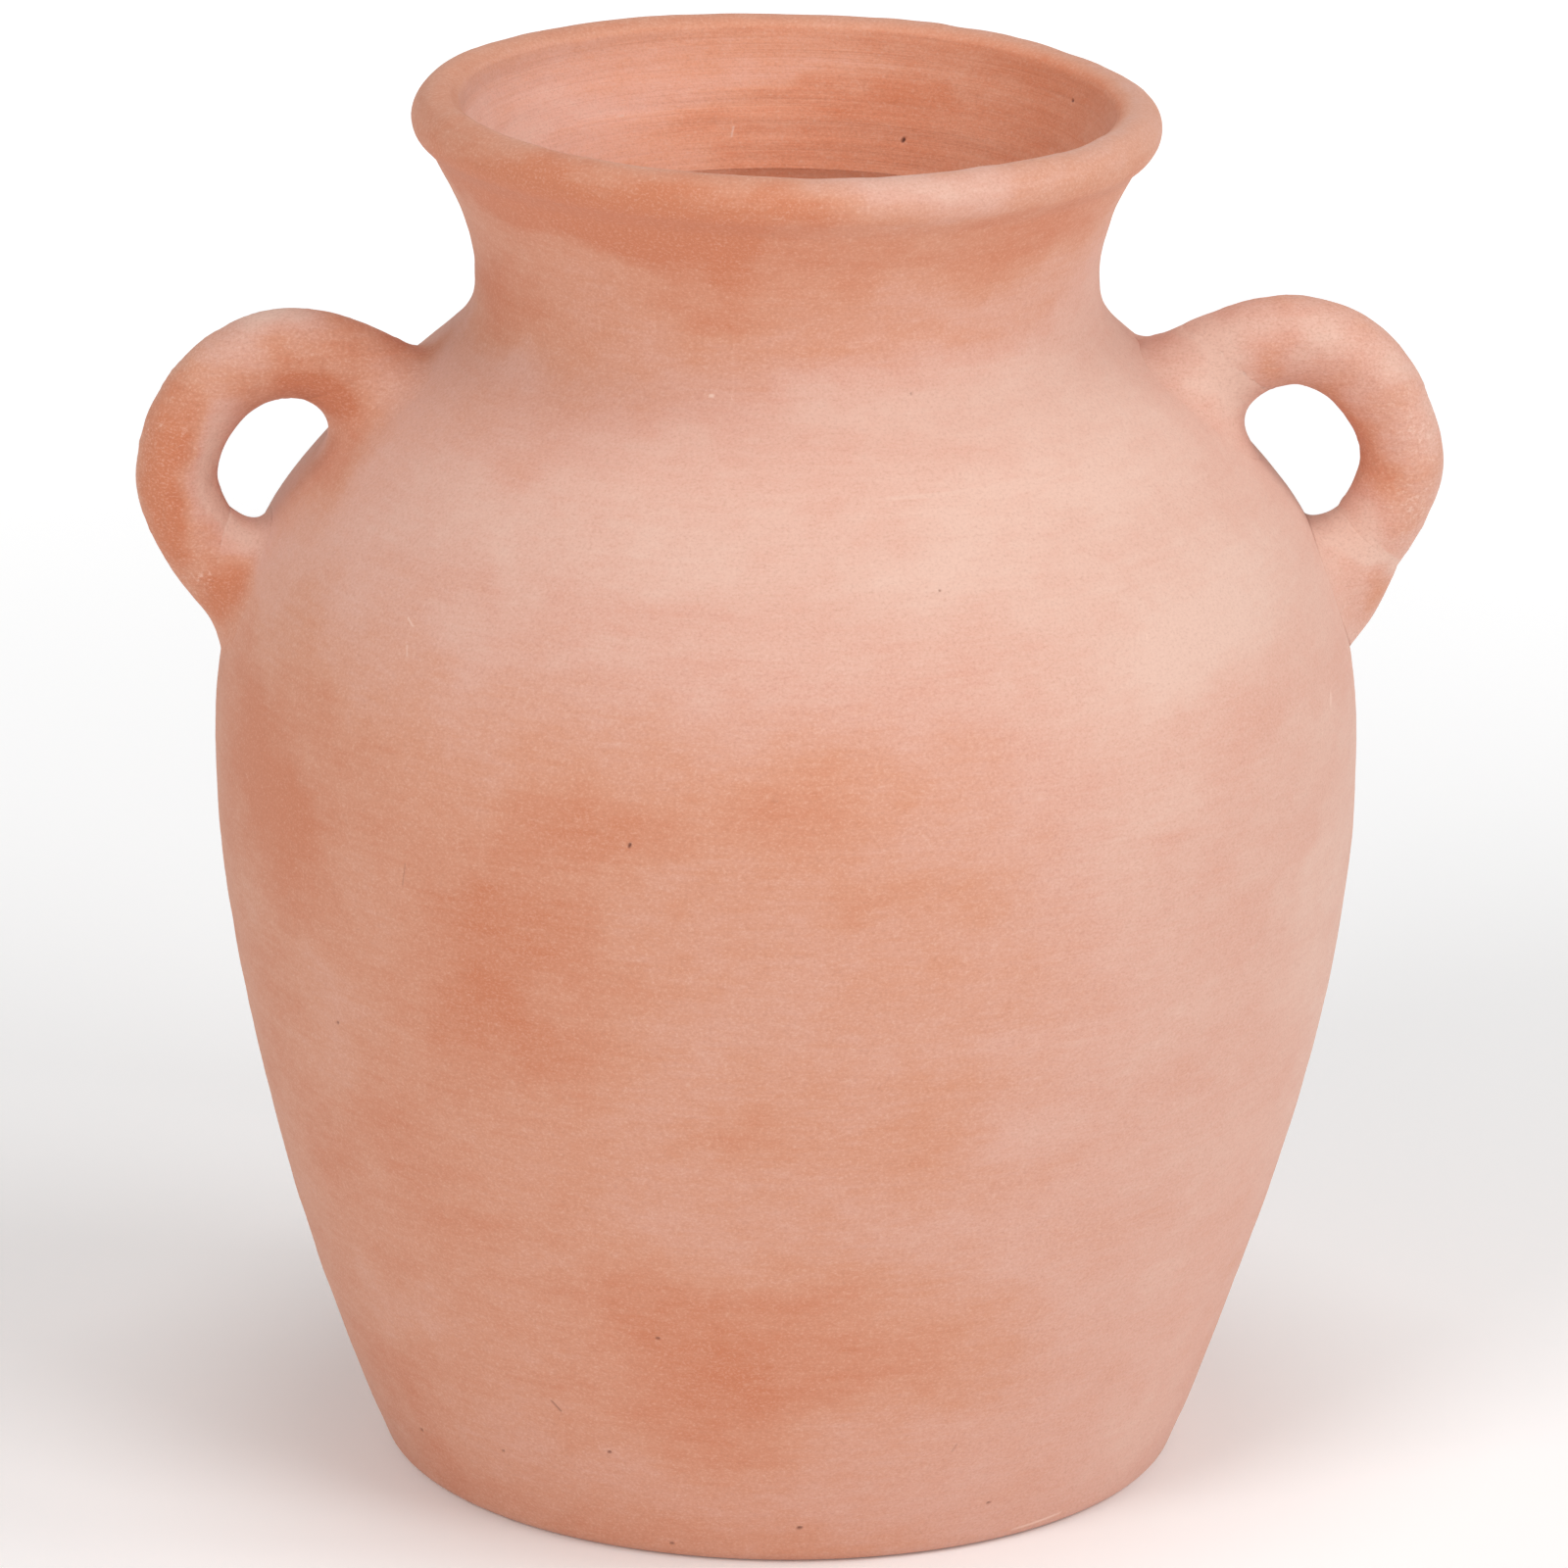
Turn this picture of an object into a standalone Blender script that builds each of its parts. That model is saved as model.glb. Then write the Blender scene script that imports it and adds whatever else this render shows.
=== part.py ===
"""Two-handled terracotta amphora, modelled as the pieces of clay it is put together from.

A thrown body carries a separately thrown collar in a lap joint. A rolled handle stands on
each side, bedded at both ends in a luting coil: a ring of soft clay pressed into the corner
between handle and wall. Metres, +Z up, origin at the middle of the foot, handles along X.
"""

import math

import bmesh
import bpy
import numpy as np

GAP = 0.0003  # clearance between neighbouring pieces
SEGMENTS = 48  # flats round each turned piece

# Turned shape, as radius and height on the outside of the wall.
FOOT_RADIUS = 0.0910
FOOT_ROUND = 0.0050  # rounding of the foot's edge
FOOT_WALL_ANGLE = math.radians(70)  # slope of the wall where it leaves the foot
WALL = [
    (0.1003, 0.030),
    (0.1131, 0.070),
    (0.1227, 0.110),
    (0.1275, 0.150),
    (0.1264, 0.185),
    (0.1159, 0.215),
    (0.0952, 0.240),
    (0.0732, 0.260),
    (0.0695, 0.273),
    (0.0727, 0.288),
    (0.0785, 0.3005),
]
WALL_THICKNESS = 0.0080
WALL_BASE = 0.0100  # first station above the foot's edge
NECK_TOP = 0.2995  # where the neck runs into the lip
FLOOR_THICKNESS = 0.0100
FLOOR_ROUND = 0.0140  # inside corner between floor and wall
FLOOR_ROUND_SLOPE = math.radians(-12)  # where that corner meets the leaning wall
INSIDE_BASE = 0.0250  # outer heights between which the wall has its full thickness
INSIDE_TOP = 0.2640

# Rim: a round lip whose inner side breaks into a straight funnel down to the throat.
LIP_CENTRE = (0.0771, 0.3066)
LIP_RADIUS = 0.0057
LIP_START = math.radians(-55)
LIP_END = math.radians(143)  # the crisp inner ridge
FUNNEL_MIDDLE = (0.0674, 0.2965)
THROAT = (0.0620, 0.2800)

# Lap joint between body and collar, seen as a ring on the shoulder and at the throat.
SEAM_HEIGHT = 0.2445
JOINT_DEPTH = 0.0038  # thickness of the collar's skirt
JOINT_TOP = 0.2770  # outer height up to which the joint runs parallel to the wall
THROAT_RECESS = 0.0012  # how far the body's upper edge stands back under the throat

# Handle: centreline in the XZ plane as distance from the axis, height and strand radius.
HANDLE = [
    (0.0830, 0.2430, 0.0102),
    (0.0945, 0.2502, 0.0101),
    (0.1110, 0.2550, 0.0100),
    (0.1245, 0.2505, 0.0097),
    (0.1333, 0.2395, 0.0093),
    (0.1363, 0.2275, 0.0091),
    (0.1338, 0.2178, 0.0091),
    (0.1283, 0.2085, 0.0093),
    (0.1210, 0.1990, 0.0096),
    (0.1120, 0.1890, 0.0098),
]
HANDLE_STEPS = 3  # sections between two points of the centreline
HANDLE_SIDES = 16

# Luting coil: radius of the clay ring pressed into the corner at each root, on the
# side away from the finger hole and on the side towards it.
UPPER_COIL = (0.0055, 0.0080)
LOWER_COIL = (0.0038, 0.0062)
COIL_SIDES = 12
COIL_TURNS = np.arange(28) * 2 * math.pi / 28  # angles round the strand

BODY_CLAY = (0.66, 0.37, 0.26)
COLLAR_CLAY = (0.68, 0.37, 0.25)
HANDLE_CLAY = (0.64, 0.32, 0.21)
LUTING_CLAY = (0.70, 0.44, 0.33)
CUTTER_GREY = (0.50, 0.50, 0.50)


def clear_scene():
    for thing in list(bpy.data.objects):
        bpy.data.objects.remove(thing, do_unlink=True)


def clay(name, colour, roughness=0.92):
    """A dull unglazed fired clay."""
    material = bpy.data.materials.new(name)
    material.use_nodes = True
    shader = material.node_tree.nodes["Principled BSDF"]
    shader.inputs["Base Color"].default_value = (*colour, 1.0)
    shader.inputs["Roughness"].default_value = roughness
    shader.inputs["Metallic"].default_value = 0.0
    material.diffuse_color = (*colour, 1.0)
    return material


def smooth_path(points, steps):
    """Catmull-Rom curve through the points, with this many steps between two of them."""
    points = np.array(points, float)
    before = 2 * points[0] - points[1]
    after = 2 * points[-1] - points[-2]
    guide = np.vstack([before, points, after])
    path = []
    for a, b, c, d in zip(guide, guide[1:], guide[2:], guide[3:]):
        for t in np.arange(steps) / steps:
            path.append(
                0.5 * (2 * b + (c - a) * t + (2 * a - 5 * b + 4 * c - d) * t**2
                       + (3 * b - a - 3 * c + d) * t**3)
            )
    path.append(points[-1])
    return np.array(path)


def arc(centre, radius, start, end, steps):
    angles = np.linspace(start, end, steps + 1)
    return [(centre[0] + radius * math.cos(a), centre[1] + radius * math.sin(a)) for a in angles]


def foot_arc():
    centre = (FOOT_RADIUS - FOOT_ROUND, FOOT_ROUND)
    return arc(centre, FOOT_ROUND, -math.pi / 2, FOOT_WALL_ANGLE - math.pi / 2, 4)


FINE_WALL = smooth_path([foot_arc()[-1]] + WALL, 24)


def wall_point(height, depth=0.0):
    """A point at this depth inside the wall, square to the outer surface at this height."""
    step = 0.0005
    low, middle, high = np.interp([height - step, height, height + step],
                                  FINE_WALL[:, 1], FINE_WALL[:, 0])
    slope = (high - low) / (2 * step)
    length = math.hypot(1.0, slope)
    return (middle - depth / length, height + depth * slope / length)


def mesh_object(name, mesh, material):
    piece = bpy.data.objects.new(name, mesh)
    bpy.context.scene.collection.objects.link(piece)
    mesh.materials.clear()
    mesh.materials.append(material)
    mesh.shade_smooth()
    mesh.set_sharp_from_angle(angle=math.radians(40))
    return piece


def turned(name, outline, material, ring=False):
    """Spins an outline round Z. A ring's outline is a closed loop clear of the axis."""
    form = bmesh.new()
    corners = [form.verts.new((radius, 0.0, height)) for radius, height in outline]
    edges = [form.edges.new(pair) for pair in zip(corners, corners[1:])]
    if ring:
        edges.append(form.edges.new((corners[-1], corners[0])))
    bmesh.ops.spin(
        form, geom=corners + edges, cent=(0, 0, 0), axis=(0, 0, 1),
        angle=2 * math.pi, steps=SEGMENTS, use_merge=True,
    )
    bmesh.ops.remove_doubles(form, verts=form.verts[:], dist=1e-6)
    bmesh.ops.recalc_face_normals(form, faces=form.faces[:])
    mesh = bpy.data.meshes.new(name)
    form.to_mesh(mesh)
    form.free()
    return mesh_object(name, mesh, material)


def outer_stations():
    """Heights of the outer surface's rings, on the body and then on the collar."""
    body = np.linspace(WALL_BASE, SEAM_HEIGHT, 16)
    collar_heights = np.linspace(SEAM_HEIGHT + GAP, NECK_TOP, 12)
    return body, collar_heights


def joint_face(depth, start, top):
    """The lap joint's upright face, from the shoulder up to the level of the throat."""
    stations = np.linspace(start, JOINT_TOP, 6)
    face = [wall_point(height, depth) for height in stations]
    return face + [(face[-1][0], top)]


def thrown_body(material):
    """Foot, floor and wall, with a thin upper edge that stands up inside the collar."""
    top = THROAT[1] - GAP
    outside = [wall_point(height) for height in outer_stations()[0]]
    joint = joint_face(JOINT_DEPTH + GAP, SEAM_HEIGHT, top)
    edge = [(THROAT[0] + THROAT_RECESS, top)]
    inside = [wall_point(height, WALL_THICKNESS) for height in np.linspace(INSIDE_TOP, INSIDE_BASE, 14)]
    corner_centre = (inside[-1][0] - FLOOR_ROUND, FLOOR_THICKNESS + FLOOR_ROUND)
    corner = arc(corner_centre, FLOOR_ROUND, FLOOR_ROUND_SLOPE, -math.pi / 2, 3)
    outline = [(0.0, 0.0)] + foot_arc() + outside + joint + edge + inside + corner
    return turned("thrown_body", outline + [(0.0, FLOOR_THICKNESS)], material)


def collar(material):
    """Shoulder ring, neck and rolled rim in one piece, open right through."""
    outside = [wall_point(height) for height in outer_stations()[1]]
    lip = arc(LIP_CENTRE, LIP_RADIUS, LIP_START, LIP_END, 10)
    joint = joint_face(JOINT_DEPTH, SEAM_HEIGHT + GAP, THROAT[1])
    return turned("collar", outside + lip + [FUNNEL_MIDDLE, THROAT] + joint[::-1], material, ring=True)


def wall_cutter():
    """Everything inside the vessel's outer surface, grown by the gap."""
    outline = [wall_point(height, -GAP) for height in np.concatenate(outer_stations())]
    outline = [(0.0, outline[0][1])] + outline + [(0.0, outline[-1][1])]
    cutter = turned("wall_cutter", outline, clay("cutter", CUTTER_GREY))
    hide(cutter)
    return cutter


def hide(piece):
    piece.hide_render = True
    piece.display_type = "WIRE"


def cut(piece, cutter):
    boolean = piece.modifiers.new("clear_of_" + cutter.name, "BOOLEAN")
    boolean.operation = "DIFFERENCE"
    boolean.solver = "EXACT"
    boolean.object = cutter


def strand(name, side, extra, material):
    """The handle's rolled strand on one side of the vessel, thicker by extra."""
    curve = bpy.data.curves.new(name, "CURVE")
    curve.dimensions = "3D"
    curve.bevel_depth = 1.0
    curve.bevel_resolution = HANDLE_SIDES // 2 - 2
    curve.use_fill_caps = True
    path = smooth_path(HANDLE, HANDLE_STEPS)
    spline = curve.splines.new("POLY")
    spline.points.add(len(path) - 1)
    for point, (out, height, radius) in zip(spline.points, path):
        point.co = (side * out, 0.0, height, 1.0)
        point.radius = radius + extra
    guide = bpy.data.objects.new(name, curve)
    bpy.context.scene.collection.objects.link(guide)
    mesh = bpy.data.meshes.new_from_object(guide)
    bpy.data.objects.remove(guide, do_unlink=True)
    form = bmesh.new()
    form.from_mesh(mesh)
    bmesh.ops.remove_doubles(form, verts=form.verts[:], dist=1e-6)
    bmesh.ops.recalc_face_normals(form, faces=form.faces[:])
    form.to_mesh(mesh)
    form.free()
    return mesh_object(name, mesh, material)


def root_loop(side, end):
    """Where the strand's skin meets the wall, as a closed loop that starts on its outer side."""
    path = smooth_path(HANDLE, 24)
    along = np.gradient(path[:, :2], axis=0)
    along /= np.linalg.norm(along, axis=1)[:, None]
    if end == "lower":
        path, along = path[::-1], along[::-1]
    loop = []
    for turn in COIL_TURNS:
        reach = path[:, 2] * math.cos(turn)
        x = path[:, 0] - reach * along[:, 1]
        y = path[:, 2] * math.sin(turn)
        z = path[:, 1] + reach * along[:, 0]
        outside = np.hypot(x, y) > np.interp(z, FINE_WALL[:, 1], FINE_WALL[:, 0])
        first = int(np.argmax(outside))
        loop.append((side * x[first], y[first], z[first]))
    return np.array(loop)


def luting_coil(name, side, end, radii, material):
    """A ring of clay laid along the root loop, its radius going from the first to the second."""
    loop = root_loop(side, end)
    middle = loop.mean(axis=0)
    ahead = np.roll(loop, -1, axis=0) - np.roll(loop, 1, axis=0)
    thickness = np.mean(radii) + (radii[0] - radii[1]) / 2 * np.cos(COIL_TURNS)
    corners = np.arange(COIL_SIDES) * 2 * math.pi / COIL_SIDES
    form = bmesh.new()
    rings = []
    for point, direction, radius in zip(loop, ahead, thickness):
        along = direction / np.linalg.norm(direction)
        out = point - middle
        out -= out.dot(along) * along
        out /= np.linalg.norm(out)
        up = np.cross(along, out)
        places = [point + radius * (math.cos(t) * out + math.sin(t) * up) for t in corners]
        rings.append([form.verts.new(place) for place in places])
    for ring, following in zip(rings, rings[1:] + rings[:1]):
        for k in range(COIL_SIDES):
            n = (k + 1) % COIL_SIDES
            form.faces.new((ring[k], ring[n], following[n], following[k]))
    bmesh.ops.recalc_face_normals(form, faces=form.faces[:])
    mesh = bpy.data.meshes.new(name)
    form.to_mesh(mesh)
    form.free()
    return mesh_object(name, mesh, material)


def main():
    clear_scene()
    thrown_body(clay("body_clay", BODY_CLAY))
    collar(clay("collar_clay", COLLAR_CLAY))
    vessel = wall_cutter()
    for side, hand in ((-1, "left"), (1, "right")):
        handle = strand(hand + "_handle", side, 0.0, clay(hand + "_handle_clay", HANDLE_CLAY))
        cut(handle, vessel)
        clearance = strand(hand + "_clearance", side, GAP, clay("cutter", CUTTER_GREY))
        hide(clearance)
        for end, radii in (("upper", UPPER_COIL), ("lower", LOWER_COIL)):
            name = f"{hand}_{end}_luting"
            coil = luting_coil(name, side, end, radii, clay(name + "_clay", LUTING_CLAY))
            cut(coil, vessel)
            cut(coil, clearance)


main()
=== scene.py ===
"""Looks of the two-handled terracotta amphora: its hand-thrown surface, clay, stage and light.

Every clay piece is rebuilt here as a fine mesh in the place of its CAD node, from the same
driving sizes, with the marks that throwing, rolling and luting leave. Metres, +Z up, handles
along X, front towards -Y.
"""

import itertools
import math

import bmesh
import bpy
import numpy as np
from mathutils import Matrix, Vector
from mathutils.bvhtree import BVHTree
from mathutils.kdtree import KDTree


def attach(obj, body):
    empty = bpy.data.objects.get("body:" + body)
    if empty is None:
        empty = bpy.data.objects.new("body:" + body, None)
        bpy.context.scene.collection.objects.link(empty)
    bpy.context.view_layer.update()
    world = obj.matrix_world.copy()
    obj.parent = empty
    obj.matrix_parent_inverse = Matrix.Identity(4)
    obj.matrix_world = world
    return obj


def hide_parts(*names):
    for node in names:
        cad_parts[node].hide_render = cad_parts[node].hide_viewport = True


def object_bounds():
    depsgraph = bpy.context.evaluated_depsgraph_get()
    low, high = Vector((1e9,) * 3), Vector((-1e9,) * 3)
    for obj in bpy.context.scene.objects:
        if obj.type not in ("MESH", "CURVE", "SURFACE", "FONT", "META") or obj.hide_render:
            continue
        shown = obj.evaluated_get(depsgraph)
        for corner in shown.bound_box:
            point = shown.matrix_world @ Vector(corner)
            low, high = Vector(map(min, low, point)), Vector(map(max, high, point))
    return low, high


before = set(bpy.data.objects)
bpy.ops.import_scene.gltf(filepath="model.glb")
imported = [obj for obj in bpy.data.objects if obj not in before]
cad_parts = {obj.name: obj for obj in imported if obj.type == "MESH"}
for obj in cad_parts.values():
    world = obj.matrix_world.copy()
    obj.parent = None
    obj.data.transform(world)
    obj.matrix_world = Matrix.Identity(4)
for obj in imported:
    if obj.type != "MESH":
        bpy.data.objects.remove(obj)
CAD_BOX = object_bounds()

MM = 0.001

# The CAD's driving sizes, repeated: outside of the wall as radius and height.
FOOT_RADIUS = 0.0910
FOOT_ROUND = 0.0050
FOOT_WALL_ANGLE = math.radians(70)
WALL = [
    (0.1003, 0.030),
    (0.1131, 0.070),
    (0.1227, 0.110),
    (0.1275, 0.150),
    (0.1264, 0.185),
    (0.1159, 0.215),
    (0.0952, 0.240),
    (0.0732, 0.260),
    (0.0695, 0.273),
    (0.0727, 0.288),
    (0.0785, 0.3005),
]
WALL_THICKNESS = 0.0080
NECK_TOP = 0.2995
FLOOR_THICKNESS = 0.0100
FLOOR_ROUND = 0.0140
FLOOR_ROUND_START = math.radians(-12)  # where its arc meets the slanting wall
AXIS_HOLE = 1.0 * MM  # the flat rows stop this far from the axis, and a fan closes them
INSIDE_BASE = 0.0250
INSIDE_TOP = 0.2640
LIP_CENTRE = (0.0771, 0.3066)
LIP_RADIUS = 0.0057
LIP_START = math.radians(-55)
LIP_END = math.radians(143)
NECK_INSIDE = [(0.0704, 0.3040), (0.0665, 0.2945)]
THROAT = (0.0620, 0.2800)
LIP_RIDGE = (
    LIP_CENTRE[0] + LIP_RADIUS * math.cos(LIP_END),
    LIP_CENTRE[1] + LIP_RADIUS * math.sin(LIP_END),
)
SEAM_HEIGHT = 0.2445
JOINT_DEPTH = 0.0038
JOINT_TOP = 0.2770
JOINT_GAP = 0.3 * MM  # clearance between body and collar
THROAT_RECESS = 0.1 * MM  # clay squeezed out closes most of the CAD's 1.2 mm step
THROAT_GAP = 0.05 * MM  # and how far below the crease it ends
# The handles' middle line, as distance from the axis and height, and the strand's radius there.
HANDLE = [
    (0.0830, 0.2430, 0.0102),
    (0.0945, 0.2502, 0.0101),
    (0.1110, 0.2550, 0.0100),
    (0.1245, 0.2505, 0.0097),
    (0.1333, 0.2395, 0.0093),
    (0.1363, 0.2275, 0.0091),
    (0.1338, 0.2178, 0.0091),
    (0.1283, 0.2085, 0.0093),
    (0.1210, 0.1990, 0.0096),
    (0.1120, 0.1890, 0.0098),
]

# Fineness of the meshes: length of a step, or how many of them.
COLUMNS = 384  # round the vessel
SKIN_STEP = 2.3 * MM  # along the profile, on plain stretches
FINE_STEP = 0.7 * MM  # round the lip and at creases
INSIDE_STEP = 5.5 * MM
FLAT_STEP = 12 * MM  # on the underside
CREASE_STEP = 0.25 * MM  # along the seam's edges and the strands' middle lines
EDGE_STEP = 1.2 * MM  # into the joint
SHARP_ANGLE = math.radians(50)  # edges that turn by more are shaded sharp
STRAND_COLUMNS = 144
STRAND_ROWS = 280
LUTING_TURNS = 180
LUTING_ROWS = 16
FLAW_CUTS = 3  # times the mesh is halved round a pit or scratch
FLAW_EDGE = 0.4 * MM  # edges shorter than this are fine enough there
FLAW_FADE = (0.2, 1.3)  # a flaw dies out between these distances, in half widths

# How far the thrown jar is from a true turned shape: height, shift along X, gain in radius.
UNEVEN = [
    (0.000, -0.40 * MM, -0.95 * MM),
    (0.018, -0.50 * MM, -0.40 * MM),
    (0.045, -0.70 * MM, -0.20 * MM),
    (0.105, 0.10 * MM, -0.40 * MM),
    (0.170, -0.40 * MM, 0.05 * MM),
    (0.245, -0.80 * MM, -0.10 * MM),
    (0.282, -1.45 * MM, -0.25 * MM),
    (0.297, -1.85 * MM, 0.10 * MM),
    (0.3135, -1.10 * MM, 0.00 * MM),
]
RIM_TILT = -0.0140  # fall of the rim along X
RIM_TILT_FROM = 0.262  # height where that tilt begins
HANDLE_SHIFT = {"left": (-0.6 * MM, -0.8 * MM), "right": (1.2 * MM, 0.5 * MM)}  # outward and up

# The viewpoint.
VIEW_DISTANCE = 2.4
VIEW_HEIGHT = 0.8923
VIEW_AIM_HEIGHT = 0.155
VIEW_YAW = math.radians(4)
VIEW_ROLL = 0.01023
VIEW_LENS = 256.8
VIEW_SENSOR = 36.0
VIEW_SHIFT = (-0.0021, -0.0052)
VIEW_REACH = 30.0

# The lamps: name, degrees to the right of the front, degrees above level, watts.
LAMPS = [
    ("front_right_lamp", 40, 36, 56.0),
    ("right_lamp", 76, 38, 54.0),
    ("left_lamp", -38, 34, 72.0),
    ("overhead_lamp", 0, 85, 50.0),
]
LAMP_SIZE = 2.2
LAMP_DISTANCE = 5.0
LAMP_AIM_HEIGHT = 0.17
ROOM_LIGHT = 0.33

FLOOR_SIZE = 9.0
FLOOR_GREY = 0.95
FLOOR_GLOW = (0.08, 0.45)  # by the jar, and out where the floor meets the white behind
FLOOR_GLOW_FROM = (0.15, 1.6)  # the distances between which the glow grows


# ---------------------------------------------------------------- curves and noise

def smooth_path(points, steps):
    """Catmull-Rom curve through the points, with this many steps between two of them."""
    points = np.array(points, float)
    before = 2 * points[0] - points[1]
    after = 2 * points[-1] - points[-2]
    guide = np.vstack([before, points, after])
    path = []
    for a, b, c, d in zip(guide, guide[1:], guide[2:], guide[3:]):
        for t in np.arange(steps) / steps:
            path.append(
                0.5 * (2 * b + (c - a) * t + (2 * a - 5 * b + 4 * c - d) * t**2
                       + (3 * b - a - 3 * c + d) * t**3)
            )
    path.append(points[-1])
    return np.array(path)


def arc(centre, radius, start, end, steps):
    angles = np.linspace(start, end, steps + 1)
    return np.stack([centre[0] + radius * np.cos(angles), centre[1] + radius * np.sin(angles)], 1)


def evenly(line, step):
    """The line's points again, at even steps along it."""
    line = np.array(line, float)
    travel = np.concatenate([[0.0], np.cumsum(np.linalg.norm(np.diff(line, axis=0), axis=1))])
    count = max(2, int(math.ceil(travel[-1] / step)) + 1)
    stations = np.linspace(0.0, travel[-1], count)
    return np.stack([np.interp(stations, travel, line[:, k]) for k in range(line.shape[1])], 1)


def smoothstep(value, low, high):
    t = np.clip((value - low) / (high - low), 0.0, 1.0)
    return t * t * (3 - 2 * t)


def running_mean(values, ends):
    """Each value's mean with the three before it and the three after it."""
    return np.convolve(np.pad(values, 3, mode=ends), np.ones(7) / 7, mode="valid")


def lattice(ix, iy, iz, seed):
    """A repeatable random number from -1 to 1 at each whole-numbered point."""
    n = (ix * 374761393 + iy * 668265263 + iz * 1440662683 + seed * 144269) & 0x7FFFFFFF
    n = ((n ^ (n >> 13)) * 1274126177) & 0x7FFFFFFF
    return ((n ^ (n >> 16)) & 0xFFFF) / 32767.5 - 1.0


def noise(points, size, seed):
    """Smooth noise from -1 to 1 whose bumps are about this size, one size or one for each axis."""
    scaled = np.asarray(points) / size
    whole = np.floor(scaled).astype(np.int64)
    part = scaled - whole
    part = part**3 * (part * (6 * part - 15) + 10)
    total = np.zeros(scaled.shape[:-1])
    for corner in itertools.product((0, 1), repeat=3):
        weight = np.prod(np.where(np.array(corner) == 1, part, 1 - part), axis=-1)
        place = whole + np.array(corner)
        total += weight * lattice(place[..., 0], place[..., 1], place[..., 2], seed)
    return total


# ---------------------------------------------------------------- the turned wall

def foot_arc(steps):
    centre = (FOOT_RADIUS - FOOT_ROUND, FOOT_ROUND)
    return arc(centre, FOOT_ROUND, -math.pi / 2, FOOT_WALL_ANGLE - math.pi / 2, steps)


FINE_WALL = smooth_path([tuple(foot_arc(4)[-1])] + WALL, 200)


def wall_radius(height):
    return np.interp(height, FINE_WALL[:, 1], FINE_WALL[:, 0])


def wall_slope(height):
    step = 0.8 * MM
    return (wall_radius(height + step) - wall_radius(height - step)) / (2 * step)


def wall_travel(height):
    """Length of the wall's outline from the ground up to this height."""
    steps = np.linalg.norm(np.diff(FINE_WALL, axis=0), axis=1)
    return np.interp(height, FINE_WALL[:, 1], np.concatenate([[0.0], np.cumsum(steps)]))


def wall_line(start, end, depth=0.0, steps=400):
    """The wall's profile between two heights, this deep inside the clay."""
    heights = np.linspace(start, end, steps + 1)
    slope = wall_slope(heights)
    length = np.hypot(1.0, slope)
    return np.stack([wall_radius(heights) - depth / length, heights + depth * slope / length], 1)


UNEVEN_CURVE = smooth_path(UNEVEN, 12)


def hand_thrown(points):
    """Bends a true turned shape into the jar that a hand made: uneven axis, tilted rim, wobble."""
    points = np.array(points, float)
    x, y, z = points[..., 0], points[..., 1], points[..., 2]
    shift = np.interp(z, UNEVEN_CURVE[:, 0], UNEVEN_CURVE[:, 1])
    gain = np.interp(z, UNEVEN_CURVE[:, 0], UNEVEN_CURVE[:, 2]) / wall_radius(z)
    rise = smoothstep(z, RIM_TILT_FROM, CAD_BOX[1].z)
    lift = smoothstep(z, 0.0, 0.030)  # the foot stays flat on the ground
    lip = smoothstep(z, 0.3075, 0.3118)
    stretch = 1 + gain + 0.0020 * lift * noise(points, 0.11, 5)
    wave = rise * 0.30 * MM * noise(points, 0.035, 6)
    wave += lip * 0.26 * MM * noise(points, 0.0075, 7)
    moved = points.copy()
    moved[..., 0] = x * stretch + shift
    moved[..., 1] = y * stretch
    moved[..., 2] = z + RIM_TILT * x * rise + wave
    return moved


def throwing_marks(points, travel):
    """Height of the outer skin's marks: turning rings, drag lines and soft hand pressure."""
    unrolled = points.copy()
    unrolled[..., 2] = travel
    rings = 0.045 * noise(unrolled, (0.070, 0.070, 0.0032), 11)
    rings += 0.070 * noise(unrolled, (0.110, 0.110, 0.0105), 12)
    drag = 0.030 * noise(unrolled, (0.022, 0.022, 0.0030), 13)
    pressure = 0.28 * noise(points, 0.046, 14) + 0.10 * noise(points, 0.018, 15)
    grain = 0.020 * noise(points, 0.0035, 16)
    return MM * (rings + drag + pressure + grain)


def inside_marks(points, travel):
    """Deeper turning rings, as fingers leave them where no rib smooths the clay."""
    unrolled = points.copy()
    unrolled[..., 2] = travel
    rings = 0.090 * noise(unrolled, (0.060, 0.060, 0.0028), 21)
    rings += 0.130 * noise(unrolled, (0.090, 0.090, 0.0075), 22)
    drag = 0.060 * noise(unrolled, (0.016, 0.016, 0.0022), 23)
    pits = -0.22 * smoothstep(noise(points, 0.0042, 24), 0.72, 0.95)
    return MM * (rings + drag + pits + 0.15 * noise(points, 0.030, 25))


def still(points, travel):
    """No marks, where the clay is out of sight."""
    return np.zeros(points.shape[:-1])


def profile_rows(stretches, closed_loop):
    """The stretches joined up: profile points, and each one's strength and kind of marks."""
    rows, weights, kinds = [], [], []
    for line, step, marks, strength in stretches:
        fresh = evenly(line, step)
        if rows and np.linalg.norm(fresh[0] - rows[-1]) < 1e-6:
            fresh = fresh[1:]
        rows.extend(fresh)
        weights.extend([strength] * len(fresh))
        kinds.extend([marks] * len(fresh))
    rows, weights = np.array(rows), np.array(weights, float)
    if closed_loop and np.linalg.norm(rows[0] - rows[-1]) < 1e-6:
        rows, weights, kinds = rows[:-1], weights[:-1], kinds[:-1]
    return rows, weights, kinds


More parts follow.
